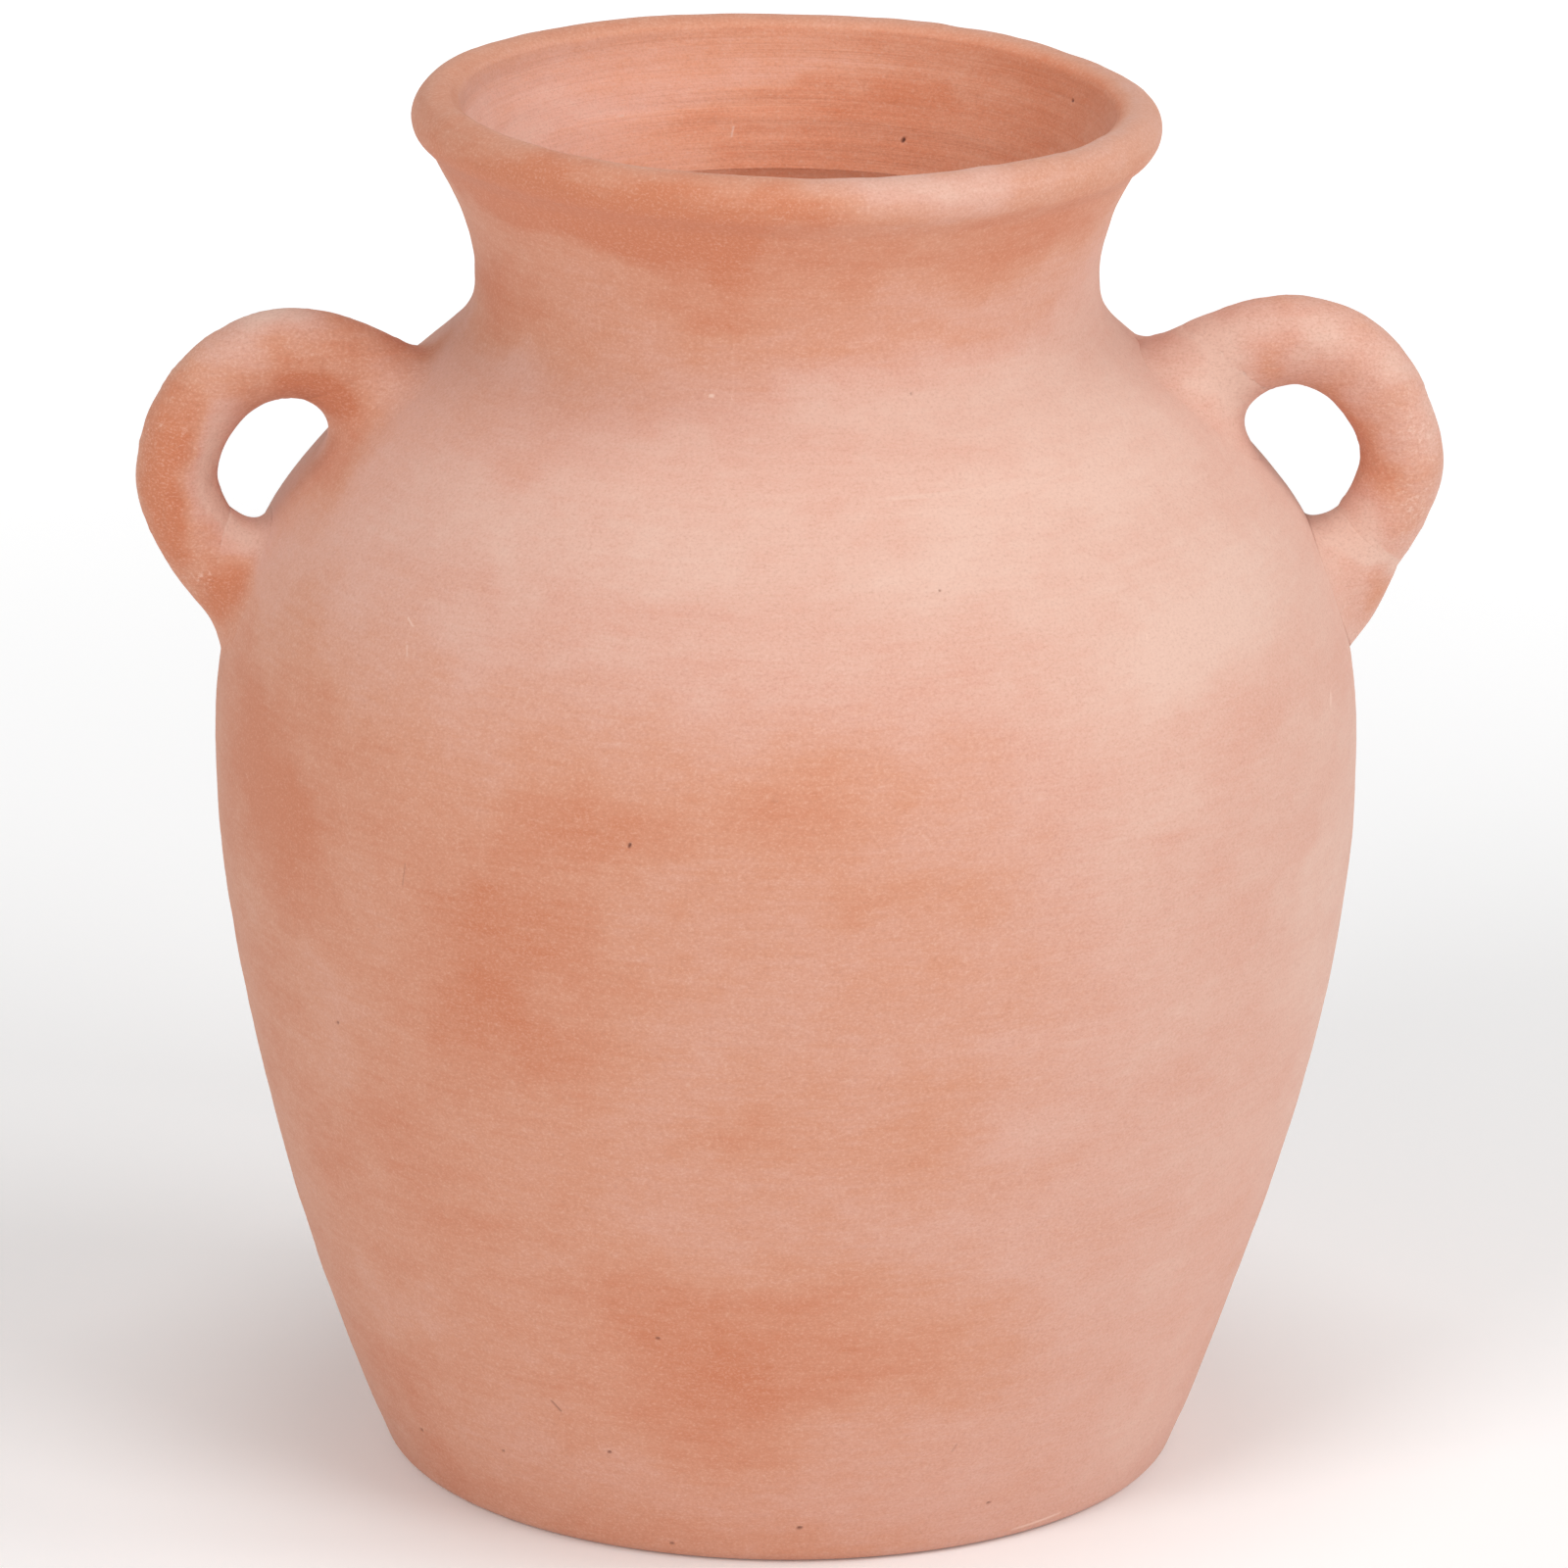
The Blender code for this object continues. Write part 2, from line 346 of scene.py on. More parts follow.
def turned_piece(name, stretches, closed_loop):
    """Spins a profile round Z. A stretch is (profile line, step, marks, strength of the marks).

    The marks stand out along the profile's normal. A profile that isn't a closed loop starts
    and ends by the axis. At the shoulder seam, body and collar have the same normals and marks.
    """
    rows, weights, kinds = profile_rows(stretches, closed_loop)
    if closed_loop:
        ahead = np.roll(rows, -1, axis=0) - np.roll(rows, 1, axis=0)
    else:
        ahead = np.gradient(rows, axis=0)
    ahead /= np.linalg.norm(ahead, axis=1)[:, None]
    normals = np.stack([ahead[:, 1], -ahead[:, 0]], 1)
    seam_point = (float(wall_radius(SEAM_HEIGHT)), SEAM_HEIGHT)
    from_seam = np.linalg.norm(rows - seam_point, axis=1)
    by_seam = from_seam < 2 * MM
    slope = float(wall_slope(SEAM_HEIGHT))
    normals[by_seam] = np.array([1.0, -slope]) / math.hypot(1.0, slope)
    travel = np.concatenate([[0.0], np.cumsum(np.linalg.norm(np.diff(rows, axis=0), axis=1))])
    travel += wall_travel(SEAM_HEIGHT) - travel[np.argmin(from_seam)]
    weights = np.where(by_seam, 1.0, np.minimum(weights, running_mean(weights, "edge")))

    turn = np.arange(COLUMNS) * 2 * math.pi / COLUMNS
    cos, sin = np.cos(turn)[None, :], np.sin(turn)[None, :]
    shape = (len(rows), COLUMNS)
    base, out = (
        np.stack([line[:, 0:1] * cos, line[:, 0:1] * sin, np.broadcast_to(line[:, 1:2], shape)], -1)
        for line in (rows, normals)
    )
    height = np.zeros(shape)
    way = np.broadcast_to(travel[:, None], shape)
    for marks in set(kinds):
        chosen = np.array([kind is marks for kind in kinds])
        height[chosen] = marks(base[chosen], way[chosen])
    points = hand_thrown(base + out * (height * weights[:, None])[..., None])
    piece = grid_object(name, points, closed_loop, caps=not closed_loop, crease=SHARP_ANGLE)
    on_seam = 1 - smoothstep(from_seam, 0.1 * MM, 0.8 * MM)
    # the seam's strip is rubbed smooth clay; along the lip's inner edge, on the front only, a
    # painted highlight
    ridge_highlight = 1 - smoothstep(np.linalg.norm(rows - LIP_RIDGE, axis=1), 0.2 * MM, 0.9 * MM)
    wiped_and_highlit = 0.45 * on_seam[:, None] * smoothstep(noise(points, 0.030, 97), -0.2, 0.5)
    wiped_and_highlit = wiped_and_highlit + 0.7 * ridge_highlight[:, None] * smoothstep(-points[..., 1], 0.0, 0.040)
    keep(piece, "wiped_and_highlit", np.append(wiped_and_highlit, [] if closed_loop else [0.0, 0.0]))
    return piece


def grid_object(name, points, wrap_rows=False, caps=False, flip=False, crease=None):
    """A mesh from a grid of points that closes round its columns, and its rows too if asked.

    Edges that turn by more than the crease angle are shaded sharp.
    """
    count, columns = points.shape[:2]
    index = np.arange(count * columns).reshape(count, columns)
    lower = index if wrap_rows else index[:-1]
    upper = np.roll(index, -1, axis=0) if wrap_rows else index[1:]
    quads = np.stack([lower, np.roll(lower, -1, axis=1), np.roll(upper, -1, axis=1), upper], -1)
    faces = quads.reshape(-1, 4).tolist()
    places = points.reshape(-1, 3)
    if caps:
        first, last = len(places), len(places) + 1
        places = np.vstack([places, points[0].mean(axis=0), points[-1].mean(axis=0)])
        bottom, top = index[0], index[-1]
        faces += [[first, int(b), int(a)] for a, b in zip(bottom, np.roll(bottom, -1))]
        faces += [[last, int(a), int(b)] for a, b in zip(top, np.roll(top, -1))]
    if flip:
        faces = [face[::-1] for face in faces]
    mesh = bpy.data.meshes.new(name)
    mesh.from_pydata(places.tolist(), [], faces)
    mesh.validate()
    mesh.shade_smooth()
    if crease:
        mesh.set_sharp_from_angle(angle=crease)
    piece = bpy.data.objects.new(name, mesh)
    bpy.context.scene.collection.objects.link(piece)
    return piece


def keep(piece, name, values):
    """Keeps a number for each vertex with the mesh, so that the material can read it."""
    layer = piece.data.attributes.new(name, "FLOAT", "POINT")
    layer.data.foreach_set("value", np.ravel(values).astype(np.float32))


def add_flaws(piece, flaws):
    """Cuts the mesh finer round each pit or scratch, presses the flaw in and keeps its colour."""
    mesh = bmesh.new()
    mesh.from_mesh(piece.data)
    colour = mesh.verts.layers.float.new("flaw")
    skin = BVHTree.FromBMesh(mesh)
    finder = KDTree(len(mesh.verts))
    for vert in mesh.verts:
        finder.insert(vert.co, vert.index)
    finder.balance()
    for place, length, slant, width, depth, tone in flaws:
        centre, normal, _, _ = skin.find_nearest(Vector(place))
        level = Vector((0.0, 0.0, 1.0)).cross(normal).normalized()
        along = Matrix.Rotation(math.radians(slant), 3, normal) @ level
        reach = (0.5 * length + 1.6 * width) * MM

        def off(point):
            """Distance from the flaw's middle line, in half widths."""
            way = point - centre
            nearest = max(-0.5 * length * MM, min(0.5 * length * MM, way.dot(along)))
            return (way - along * nearest).length / (0.5 * width * MM)

        near = {index for _, index, _ in finder.find_range(centre, reach + 2.2 * MM)}
        for _ in range(FLAW_CUTS):
            mesh.verts.ensure_lookup_table()
            edges = {edge for index in near for edge in mesh.verts[index].link_edges}
            edges = [edge for edge in edges if edge.calc_length() > FLAW_EDGE]
            near |= set(range(len(mesh.verts), len(mesh.verts) + 4 * len(edges)))
            bmesh.ops.subdivide_edges(mesh, edges=edges, cuts=1, use_grid_fill=True)
            mesh.verts.ensure_lookup_table()
            near = {index for index in near if index < len(mesh.verts)
                    and (mesh.verts[index].co - centre).length < reach + 0.5 * MM}
        for index in near:
            vert = mesh.verts[index]
            share = 1 - float(smoothstep(off(vert.co), *FLAW_FADE))
            vert.co -= normal * (depth * MM * share)
            vert[colour] += tone * share
    mesh.to_mesh(piece.data)
    mesh.free()


def seam_edge(upwards):
    """The last stretch of the skin before the shoulder seam, rounding down into a fine groove."""
    width, depth = 0.9 * MM, 0.03 * MM
    side = 1 if upwards else -1
    heights = SEAM_HEIGHT + side * np.linspace(0, width, 12)
    line = []
    for height in heights:
        share = 1 - abs(height - SEAM_HEIGHT) / width
        line.append(wall_line(height, height, depth * share**2, 0)[0])
    return np.array(line if upwards else line[::-1])


def joint_face(depth, top):
    face = wall_line(SEAM_HEIGHT, JOINT_TOP, depth, 40)
    return np.vstack([face, [face[-1][0], top]])


def body_piece():
    foot_flat = FOOT_RADIUS - FOOT_ROUND
    seam = seam_edge(upwards=False)
    throat = (THROAT[0] + THROAT_RECESS, THROAT[1] - THROAT_GAP)
    joint = joint_face(JOINT_DEPTH + JOINT_GAP, throat[1])
    inner = wall_line(INSIDE_TOP, INSIDE_BASE, WALL_THICKNESS)
    corner_centre = (inner[-1][0] - FLOOR_ROUND, FLOOR_THICKNESS + FLOOR_ROUND)
    corner = arc(corner_centre, FLOOR_ROUND, FLOOR_ROUND_START, -math.pi / 2, 20)
    inside_floor = [(corner_centre[0], FLOOR_THICKNESS), (AXIS_HOLE, FLOOR_THICKNESS)]
    stretches = [
        ([(AXIS_HOLE, 0.0), (foot_flat, 0.0)], FLAT_STEP, still, 0.0),
        (foot_arc(20), FINE_STEP, throwing_marks, 0.25),
        (wall_line(foot_arc(4)[-1][1], seam[0][1]), SKIN_STEP, throwing_marks, 1.0),
        (seam, CREASE_STEP, throwing_marks, 1.0),
        ([seam[-1], joint[0]], EDGE_STEP, throwing_marks, 1.0),
        (joint, INSIDE_STEP, still, 0.0),
        ([joint[-1], throat], 0.6 * MM, still, 0.0),
        ([throat, inner[0]], 1.5 * MM, inside_marks, 1.0),
        (inner, INSIDE_STEP, inside_marks, 1.0),
        (corner, INSIDE_STEP, inside_marks, 1.0),
        (inside_floor, INSIDE_STEP, inside_marks, 1.0),
    ]
    return turned_piece("thrown_body_clay", stretches, closed_loop=False)


def collar_piece():
    seam = seam_edge(upwards=True)
    lip = arc(LIP_CENTRE, LIP_RADIUS, LIP_START, LIP_END, 60)
    ridge = lip[-1]
    under_ridge = ridge + (-0.30 * MM, -0.7 * MM)
    funnel = smooth_path([under_ridge, *NECK_INSIDE, THROAT], 20)
    crease = [THROAT, (THROAT[0] + 0.35 * MM, THROAT[1] - 0.02 * MM)]
    joint = joint_face(JOINT_DEPTH, THROAT[1])
    neck_end = wall_line(NECK_TOP, NECK_TOP, 0.0, 0)[0]
    stretches = [
        (seam, CREASE_STEP, throwing_marks, 1.0),
        (wall_line(seam[-1][1], NECK_TOP), 1.5 * MM, throwing_marks, 1.0),
        (smooth_path([neck_end, lip[0]], 4), FINE_STEP, throwing_marks, 1.0),
        (lip, FINE_STEP, throwing_marks, 0.8),
        ([ridge, funnel[0]], 0.3 * MM, throwing_marks, 0.6),
        (funnel, 1.0 * MM, inside_marks, 1.0),
        (crease, 0.35 * MM, inside_marks, 0.5),
        ([crease[-1], joint[-1]], 1.0 * MM, still, 0.0),
        (joint[::-1], INSIDE_STEP, still, 0.0),
        ([joint[0], seam[0]], EDGE_STEP, throwing_marks, 1.0),
    ]
    return turned_piece("collar_clay_ring", stretches, closed_loop=True)


# ---------------------------------------------------------------- handles and luting

class Strand:
    """One handle's rolled strand as a skin: a point for each way along it and turn round it.

    It is laid out on the +X side. side mirrors it in place(), and ledge is (way, slant, drop):
    from that way on the strand is thinner, where it was trimmed and clay was pressed over it.
    """

    def __init__(self, side, shift, seed, ledge=None):
        self.side, self.seed, self.ledge = side, seed, ledge
        path = evenly(smooth_path(HANDLE, 60), CREASE_STEP)
        self.path, self.radius = path[:, :2] + shift, path[:, 2]
        along = np.gradient(self.path, axis=0)
        self.along = along / np.linalg.norm(along, axis=1)[:, None]
        steps = np.linalg.norm(np.diff(self.path, axis=0), axis=1)
        self.travel = np.concatenate([[0.0], np.cumsum(steps)])

    def at(self, values, way):
        return np.interp(way, self.travel, values)

    def smooth_skin(self, way, turn, extra=0.0):
        """Turn 0 is the side away from the wall."""
        cx, cz = self.at(self.path[:, 0], way), self.at(self.path[:, 1], way)
        reach = self.at(self.radius, way) + extra
        return np.stack([cx, 0 * cx, cz], -1) + reach[..., None] * self.outward(way, turn)

    def outward(self, way, turn):
        tx, tz = self.at(self.along[:, 0], way), self.at(self.along[:, 1], way)
        return np.stack([-np.cos(turn) * tz, np.sin(turn) + 0 * tz, np.cos(turn) * tx], -1)

    def skin(self, way, turn, extra=0.0):
        """The skin with the marks of rolling and trimming on it."""
        plain = self.smooth_skin(way, turn)
        height = rolled_marks(self.place(plain), self.seed)
        if self.ledge:
            past = way - self.ledge_way(turn)
            height = height - self.ledge[2] * smoothstep(past, -0.4 * MM, 0.5 * MM)
        return self.smooth_skin(way, turn, height + extra)

    def ledge_way(self, turn):
        start, slant, _ = self.ledge
        plain = self.smooth_skin(np.full(np.shape(turn), start), turn)
        return start + slant * np.cos(turn) + 1.1 * MM * noise(plain, 0.006, self.seed + 9)

    def place(self, points):
        return points * np.array([self.side, 1.0, 1.0])


def wall_normal(points):
    """Outward direction of the wall beside each point."""
    slope = wall_slope(points[..., 2])
    length = np.hypot(1.0, slope)
    ring = np.hypot(points[..., 0], points[..., 1])
    level = points[..., :2] / ring[..., None] / length[..., None]
    return np.concatenate([level, (-slope / length)[..., None]], -1)


def depth_in_wall(points):
    slope = wall_slope(points[..., 2])
    ring = np.hypot(points[..., 0], points[..., 1])
    return (wall_radius(points[..., 2]) - ring) / np.hypot(1.0, slope)


def onto_wall(points, strand, sunk=0.0):
    """The points moved along the wall's normal onto its marked skin, or this deep under it."""
    for _ in range(3):
        points = points + wall_normal(points) * depth_in_wall(points)[..., None]
    marks = throwing_marks(strand.place(points), wall_travel(points[..., 2]))
    return points + wall_normal(points) * (marks - sunk)[..., None]


# Both handles. Clay was pressed over the right one's trimmed lower end.
STRANDS = {
    "left": Strand(-1, HANDLE_SHIFT["left"], 40),
    "right": Strand(1, HANDLE_SHIFT["right"], 60, ledge=(92.0 * MM, 1.2 * MM, 0.16 * MM)),
}
HANDLE_SUNK = 3.0 * MM  # a strand's ends stop this deep inside the wall
LUTING_SUNK = 0.12 * MM  # the luting's skin dips this far under its neighbours' at its edges
LUTING_ROOT = 2.2 * MM  # how far it goes down into the corner

# How far each luting spreads: (along the strand, along the wall, fullness), in millimetres, for
# its outer side, its flanks and its side at the finger hole.
LUTING_REACH = {
    ("left", "upper"): ((4.5, 3.0, 0.0), (11.0, 13.0, 0.0), (16.0, 15.0, 0.5)),
    ("left", "lower"): ((8.0, 6.0, 0.0), (10.0, 10.0, 0.0), (11.5, 8.0, 1.6)),
    ("right", "upper"): ((9.0, 2.4, 1.0), (12.0, 13.0, 0.0), (16.5, 15.5, 0.9)),
    ("right", "lower"): ((17.0, 2.5, 2.5), (13.0, 10.0, 0.3), (9.5, 4.0, 1.8)),
}
# A luting's edge on its strand, smeared out or pressed over a ledge: the clay's thickness there,
# how its rows crowd towards it, and where the pale strip along it fades out and how strong it is;
# at the pressed ledge that strip is partly painted light on the shade of its step.
SMEARED_EDGE = (0.08 * MM, 1.0, (0.6 * MM, 2.6 * MM), 0.12)
PRESSED_EDGE = (0.30 * MM, 1.6, (1.2 * MM, 3.8 * MM), 1.00)


def rolled_marks(points, seed):
    """Height of a rolled strand's marks: finger pressure, lumps, grit and pinholes."""
    pressure = 0.34 * noise(points, 0.0160, seed) + 0.17 * noise(points, 0.0075, seed + 1)
    lumps = 0.080 * noise(points, 0.0030, seed + 2)
    grit = 0.10 * smoothstep(noise(points, 0.0018, seed + 4), 0.45, 0.85)
    pits = -0.16 * smoothstep(noise(points, 0.0024, seed + 3), 0.55, 0.90)
    return MM * (pressure + lumps + grit + pits)


def handle_piece(name, strand):
    way = np.linspace(0.0, strand.travel[-1], STRAND_ROWS)[:, None]
    turn = (np.arange(STRAND_COLUMNS) * 2 * math.pi / STRAND_COLUMNS)[None, :]
    way, turn = np.broadcast_arrays(way, turn)
    points = strand.skin(way, turn)
    too_deep = np.maximum(depth_in_wall(points) - HANDLE_SUNK, 0.0)
    points = hand_thrown(strand.place(points + wall_normal(points) * too_deep[..., None]))
    piece = grid_object(name, points, caps=True, flip=strand.side < 0)
    if strand.ledge:
        # pale along the ledge: rubbed clay, and partly painted light on the shade of the step
        near = 1 - smoothstep(np.abs(way - strand.ledge_way(turn)), 0.3 * MM, 1.5 * MM)
        keep(piece, "wiped_and_highlit", np.append(near, [0.0, 0.0]))
    return piece


def root_ways(strand, end, turn):
    """How far along the strand its skin leaves the wall, for each turn round it."""
    ways = strand.travel if end == "upper" else strand.travel[::-1]
    found = []
    for angle in turn:
        outside = depth_in_wall(strand.smooth_skin(ways, np.full(len(ways), angle))) < 0
        found.append(ways[int(np.argmax(outside))])
    return np.array(found)


def luting_piece(name, strand, end, reach):
    """Soft clay pressed into a root's corner: a hollow fillet that dies out on strand and wall."""
    pressed = bool(strand.ledge) and end == "lower"
    coat, crowding, fade, rubbed = PRESSED_EDGE if pressed else SMEARED_EDGE
    seed = strand.seed + (20 if end == "upper" else 30)
    turn = np.arange(LUTING_TURNS) * 2 * math.pi / LUTING_TURNS
    away = 1 if end == "upper" else -1
    leave = root_ways(strand, end, turn)
    leave = running_mean(leave, "wrap")
    corner = strand.smooth_skin(leave, turn)
    outer, flank = np.maximum(np.cos(turn), 0) ** 2, np.sin(turn) ** 2
    hole = np.maximum(-np.cos(turn), 0) ** 2
    strand_reach, wall_reach, fullness = (
        outer * at_outer + flank * at_flank + hole * at_hole
        for at_outer, at_flank, at_hole in zip(*reach)
    )
    placed = strand.place(corner)
    ragged = noise(placed, 0.010, seed) + 0.5 * noise(placed, 0.005, seed + 1)
    strand_reach = strand_reach * (1 + 0.12 * ragged)
    wall_reach = wall_reach * (1 - 0.12 * ragged)
    if pressed:
        strand_reach = leave - strand.ledge_way(turn) + 0.4 * MM

    normal = wall_normal(corner)
    spread = corner - corner.mean(axis=0)
    spread -= np.sum(spread * normal, axis=-1)[:, None] * normal
    spread /= np.linalg.norm(spread, axis=1)[:, None]

    # u runs from the edge on the strand, 0, to the edge on the wall, 1
    u = np.linspace(0.0, 1.0, LUTING_ROWS)[:, None] ** crowding
    way = leave + away * strand_reach * (1 - u)
    turns = np.broadcast_to(turn, way.shape)
    strand_side = strand.skin(way, turns, coat * smoothstep(u, 0.0, 0.06) - LUTING_SUNK)
    spread_out = corner + spread * (wall_reach * u)[..., None]
    wall_side = onto_wall(spread_out, strand, LUTING_SUNK * smoothstep(u, 0.7, 1.0))
    fillet = strand_side * (1 - u)[..., None] + wall_side * u[..., None]
    face = normal + strand.outward(leave, turn)
    face /= np.linalg.norm(face, axis=1)[:, None]
    bulge = 4 * u * (1 - u)
    lumps = 0.22 * noise(strand.place(fillet), 0.0085, seed + 2)
    lumps = lumps + 0.09 * noise(strand.place(fillet), 0.0032, seed + 3)
    fillet = fillet + face * ((MM * lumps + fullness) * bulge)[..., None]
    buried = (corner - LUTING_ROOT * face)[None]
    points = hand_thrown(strand.place(np.concatenate([fillet, buried])))
    piece = grid_object(name, points, wrap_rows=True, flip=(strand.side < 0) != (end == "lower"))
    # the pale strip along the edge on the strand: rubbed clay, and at the pressed ledge partly
    # painted light on the step's shade
    edge = 1 - smoothstep(strand_reach * u, *fade)
    wiped_and_highlit = np.concatenate([edge * rubbed, 0 * edge[:1]])
    keep(piece, "wiped_and_highlit", wiped_and_highlit * (0.75 + 0.5 * noise(points, 0.004, seed + 5)))
    return piece


# ---------------------------------------------------------------- clay material

class Nodes:
    """Short way to write a node tree: each call makes one node and returns one of its outputs."""

    def __init__(self, material):
        material.use_nodes = True
        self.tree = material.node_tree
        self.tree.nodes.clear()

    def new(self, kind, inputs=None, **settings):
        node = self.tree.nodes.new(kind)
        for key, value in settings.items():
            setattr(node, key, value)
        for key, value in (inputs or {}).items():
            self.put(node.inputs[key], value)
        return node

    def add(self, kind, inputs=None, output=0, **settings):
        return self.new(kind, inputs, **settings).outputs[output]

    def put(self, socket, value):
        if isinstance(value, bpy.types.NodeSocket):
            self.tree.links.new(value, socket)
        else:
            socket.default_value = value

    def math(self, operation, a, b=0.0, clamp=False):
        return self.add("ShaderNodeMath", {0: a, 1: b}, operation=operation, use_clamp=clamp)

    def times(self, a, b, clamp=False):
        return self.math("MULTIPLY", a, b, clamp)

    def kept(self, name):
        """What keep() kept under this name with the mesh."""
        return self.add("ShaderNodeAttribute", output=2, attribute_name=name)

    def remap(self, value, low, high, to_low=0.0, to_high=1.0, shape="SMOOTHSTEP"):
        return self.add("ShaderNodeMapRange", {
            "Value": value, "From Min": low, "From Max": high, "To Min": to_low, "To Max": to_high,
        }, interpolation_type=shape)

    def noise(self, place, scale, detail=2.0, roughness=0.5):
        """Noise about zero, within half each way."""
        cloud = self.add("ShaderNodeTexNoise", {
            "Vector": place, "Scale": scale, "Detail": detail, "Roughness": roughness,
        })
        return self.math("SUBTRACT", cloud, 0.5)

    def stretched_noise(self, place, scales, roughness, detail=2.0):
        """The same with its own scale along each axis."""
        stretched = self.add("ShaderNodeVectorMath", {0: place, 1: scales}, operation="MULTIPLY")
        return self.noise(stretched, 1.0, detail, roughness)

    def total(self, *values):
        result = values[0]
        for value in values[1:]:
            result = self.math("ADD", result, value)
        return result

    def mix(self, share, a, b):
        node = self.new("ShaderNodeMix", data_type="RGBA")
        for socket, value in zip((node.inputs[0], node.inputs[6], node.inputs[7]), (share, a, b)):
            self.put(socket, value)
        return node.outputs[2]


# Cloudy patches from the firing, and some painted light and shade marked below: angle round the
# jar (degrees, -90 is the front), height, half width and half height (mm), and strength, oranger
# and deeper above zero and paler below.
WALL_PATCHES = [
    (-155, 166, 20, 21, 0.50),
    (-121, 146, 26, 32, 0.50),
    (-115, 182, 18, 12, 0.36),
    (-92, 187, 19, 10, 0.36),
    (-82, 168, 26, 10, 0.20),
    (-79, 147, 34, 12, 0.22),
    (-97, 55, 36, 26, 0.30),
    (-101, 36, 19, 20, 0.34),
    (-112, 64, 22, 16, 0.12),
    (-82, 55, 32, 22, 0.20),
    (-118, 6, 90, 12, 0.20),
    (-138, 89, 26, 28, 0.22),
    (-80, 115, 20, 16, 0.18),
    (-95, 114, 20, 14, 0.20),
    (-152, 20, 18, 16, 0.25),
    # deeper under the lip at the front: partly painted shade under the rim
    (-116, 296.5, 32, 6, 0.55),
    (-110, 284, 14, 7, 0.22),
    # deeper under the lip on the right: partly painted shade under the rim
    (-38, 298, 40, 11, 0.60),
    (-143, 238, 24, 14, -0.22),
    (-150, 264, 36, 10, 0.20),
    (-72, 270, 40, 7, 0.18),
    # deeper just under the lip at the front: partly painted shade under the rim
    (-120, 298, 36, 4, 0.22),
    (-162, 271, 34, 13, 0.52),
    # these three deeper under the lip on the left and front: partly painted shade under the rim
    (-155, 302, 30, 9, 0.50),
    (-128, 303, 32, 7, 0.48),
    (-102, 303, 26, 5, 0.40),
    (-75, 292, 34, 7, 0.18),
    # these two paler along the top of the front lip: painted highlight
    (-65, 308, 30, 5, -0.30),
    (-76, 312.5, 30, 4, -0.50),
    (-116, 309, 34, 5, 0.14),
    (-75, 260, 24, 8, -0.30),
    # deeper on the wall by the left handle's finger hole: painted shade from the handle
    (-173, 230, 14, 22, 0.80),
    (-158, 252, 30, 10, 0.10),
    (-158, 214, 16, 14, 0.30),
    (-166, 166, 16, 22, 0.30),
    (-58, 170, 34, 30, -0.27),
    (-51, 132, 25, 18, -0.22),
    (-69, 110, 18, 10, -0.28),
    (-105, 118, 12, 10, -0.22),
    (-147, 128, 16, 12, -0.20),
    (-153, 84, 14, 12, 0.25),
    (-40, 18, 28, 14, -0.32),
    (-66, 52, 28, 14, 0.18),
    (-95, 280, 50, 13, 0.06),
    (-40, 215, 30, 14, -0.35),
    (-50, 203, 26, 12, -0.30),
    (-39, 250, 34, 15, -0.30),
    (-77, 238, 46, 18, -0.30),
    (-117, 238, 36, 14, -0.25),
    (-148, 120, 20, 22, -0.15),
    (-148, 60, 18, 16, -0.12),
    (-54, 90, 40, 50, -0.06),
    (-20, 130, 45, 60, -0.30),
    (-160, 236, 22, 18, -0.12),
    # a paler ring inside the neck, palest at the -X back: painted light falling in through the
    # mouth
    (165, 296, 45, 5, -0.26),
    (125, 299, 45, 4, -0.20),
    (90, 300, 40, 4, -0.16),
    (58, 300, 35, 4, -0.10),
    # the back
    (62, 172, 34, 30, 0.45),
    (98, 110, 30, 36, 0.35),
    (128, 205, 36, 18, 0.30),
    (30, 88, 26, 30, 0.30),
    (80, 286, 40, 12, 0.35),
    (112, 45, 30, 20, 0.30),
    (88, 232, 50, 20, -0.30),
    (140, 140, 34, 40, -0.20),
    (50, 40, 34, 26, -0.15),
]

# Pits, scratches and smears: angle (degrees), height (mm), length (mm), slant (degrees), width
# (mm), depth (mm, below zero where clay stands proud) and colour, dark above zero, pale below;
# in the pits the dark is painted shade.
BODY_FLAWS = [
    (-151, 17, 0.5, 0, 0.9, 0.35, 0.8),
    (-133, 21, 0.0, 0, 0.8, 0.30, 0.7),
    (-116, 27, 0.4, 20, 0.8, 0.30, 0.8),
    (-109, 4, 0.3, 0, 0.9, 0.30, 0.7),
    (-91, 10, 0.5, 10, 1.0, 0.35, 0.8),
    (-64, 12, 0.3, 0, 0.8, 0.30, 0.7),
    (-109, 177, 0.5, 70, 0.8, 0.40, 0.9),
    (-109.7, 176.6, 0.3, 0, 0.7, 0.05, -0.7),
    (-76, 228, 0.0, 0, 0.7, 0.25, 0.6),
    (-146, 121, 0.3, 0, 0.8, 0.30, 0.7),
    (-108, 59, 0.4, 0, 0.8, 0.30, 0.7),
    (-122.5, 37, 3.0, -50, 0.6, 0.25, 0.5),
    (-134, 162, 5.0, 80, 0.4, 0.10, 0.3),
    (-71, 29, 1.8, 65, 0.7, 0.05, 0.20),
    (-22, 186, 2.5, 60, 1.2, 0.05, -0.6),
    (-138.2, 214.5, 2.7, -33, 0.5, -0.06, -0.7),
    (-137.3, 209, 2.4, 113, 0.5, -0.06, -0.55),
    (-95, 188, 1.4, 0, 0.5, 0.08, 0.15),
    (-52, 214, 0.8, 70, 0.6, 0.0, -0.5),
    (-54, 3, 14.0, 4, 0.8, 0.05, -0.80),
    (60, 150, 0.5, 0, 0.9, 0.35, 0.8),
    (105, 80, 0.3, 0, 0.8, 0.30, 0.7),
    (130, 200, 4.0, 30, 0.5, 0.10, -0.5),
]
